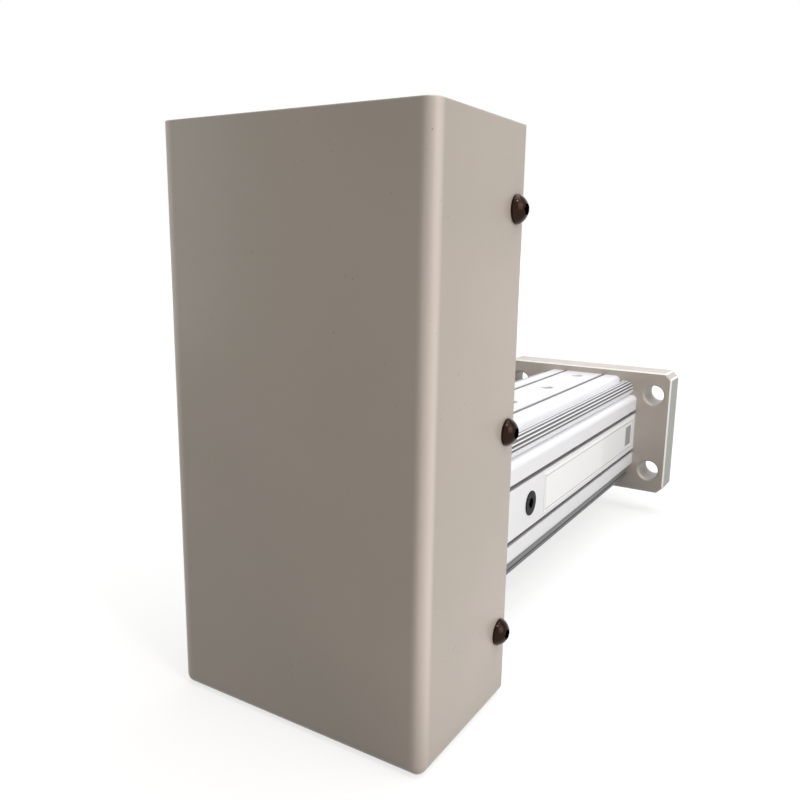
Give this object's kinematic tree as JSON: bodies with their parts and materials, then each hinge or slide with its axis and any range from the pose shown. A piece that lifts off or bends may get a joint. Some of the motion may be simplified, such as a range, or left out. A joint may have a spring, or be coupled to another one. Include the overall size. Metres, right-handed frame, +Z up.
{
  "type": "electric cylinder",
  "caption": "Electric cylinder: a belt-driven ball screw in a square grooved tube pushes a round rod out through a bolted front flange, with the drive end under a folded sheet hood",
  "frame": {"origin": "on the rod's axis, in the front face of the mounting flange", "axes": "+X along the rod, the way it extends; +Z up, from the rod's axis towards the motor's"},
  "size_m": [0.405, 0.124, 0.226],
  "materials": {
    "hood_paint": "satin stoved paint",
    "anodised_tube": "clear anodised extrusion",
    "machined_aluminium": "fine machined, satin",
    "black_screw": "black oxide",
    "bright_steel": "ground",
    "chromed_rod": "hard chromed and polished",
    "plated_steel": "zinc plated",
    "bronze": "turned",
    "black_rubber": "matt",
    "buffer_rubber": "cast polyurethane",
    "black_plastic": "moulded",
    "bearing_plastic": "machined",
    "label_film": "printed film, blank",
    "motor_paint": "black coated",
    "lamination": "stacked sheet",
    "magnet": "sintered"
  },
  "bodies": {
    "frame": {"cylinder_tube": "anodised_tube", "front_flange": "machined_aluminium", "flange_screws": "black_screw", "rod_bush": "bronze", "rod_wiper": "black_rubber", "gland_cap": "machined_aluminium", "gland_cap_screws": "black_screw", "front_bumper": "buffer_rubber", "rear_bumper": "buffer_rubber", "lube_plug": "black_screw", "side_label": "label_film", "drive_plate": "machined_aluminium", "tube_screws": "black_screw", "bearing_cartridge": "bright_steel", "bearing_outer_rings": "bright_steel", "bearing_balls": "bright_steel", "bearing_retainer": "plated_steel", "retainer_screws": "black_screw", "belt_cover": "hood_paint", "cover_screws": "black_screw", "timing_belt": "black_rubber", "motor_flange": "machined_aluminium", "motor_housing": "motor_paint", "motor_stator": "lamination", "motor_bearings": "bright_steel", "motor_end_cap": "black_plastic", "end_cap_screws": "plated_steel", "motor_screws": "black_screw", "motor_nuts": "plated_steel", "motor_sockets": "black_plastic", "tension_block": "plated_steel", "tension_block_screws": "black_screw", "tension_screw": "plated_steel", "tension_lock_nut": "plated_steel"},
    "rod": {"piston_rod": "chromed_rod", "rod_end": "bright_steel", "rod_end_nut": "plated_steel", "piston": "machined_aluminium", "ball_nut": "bright_steel", "nut_balls": "bright_steel", "nut_screws": "black_screw", "wear_rings": "bearing_plastic", "guide_keys": "bearing_plastic", "magnet_ring": "magnet"},
    "screw": {"ball_screw": "bright_steel", "bearing_inner_rings": "bright_steel", "screw_lock_nut": "black_screw", "driven_pulley": "machined_aluminium", "driven_pulley_flanges": "plated_steel", "pulley_key": "bright_steel", "pulley_washer": "plated_steel", "pulley_bolt": "black_screw", "tip_bush": "bearing_plastic", "tip_circlip": "black_screw"},
    "motor_rotor_body": {"motor_rotor": "bright_steel", "drive_pulley": "machined_aluminium", "drive_pulley_flanges": "plated_steel", "drive_set_screws": "black_screw"}
  },
  "joints": [
    {"name": "rod_slide", "type": "slide", "parent": "frame", "child": "rod", "axis": [1, 0, 0], "range_m": [0, 0.14], "deforming": ["timing_belt"]},
    {"name": "screw_spin", "type": "hinge", "parent": "frame", "child": "screw", "pos_m": [0, 0, 0], "axis": [1, 0, 0], "range_deg": [-5040, 0]},
    {"name": "motor_spin", "type": "hinge", "parent": "frame", "child": "motor_rotor_body", "pos_m": [0, 0, 0.11136], "axis": [1, 0, 0], "range_deg": [-10080, 0]}
  ],
  "couplings": [
    {"joint": "screw_spin", "follows": "rod_slide", "rad_per_m": -628.32},
    {"joint": "motor_spin", "follows": "rod_slide", "rad_per_m": -1256.6}
  ]
}
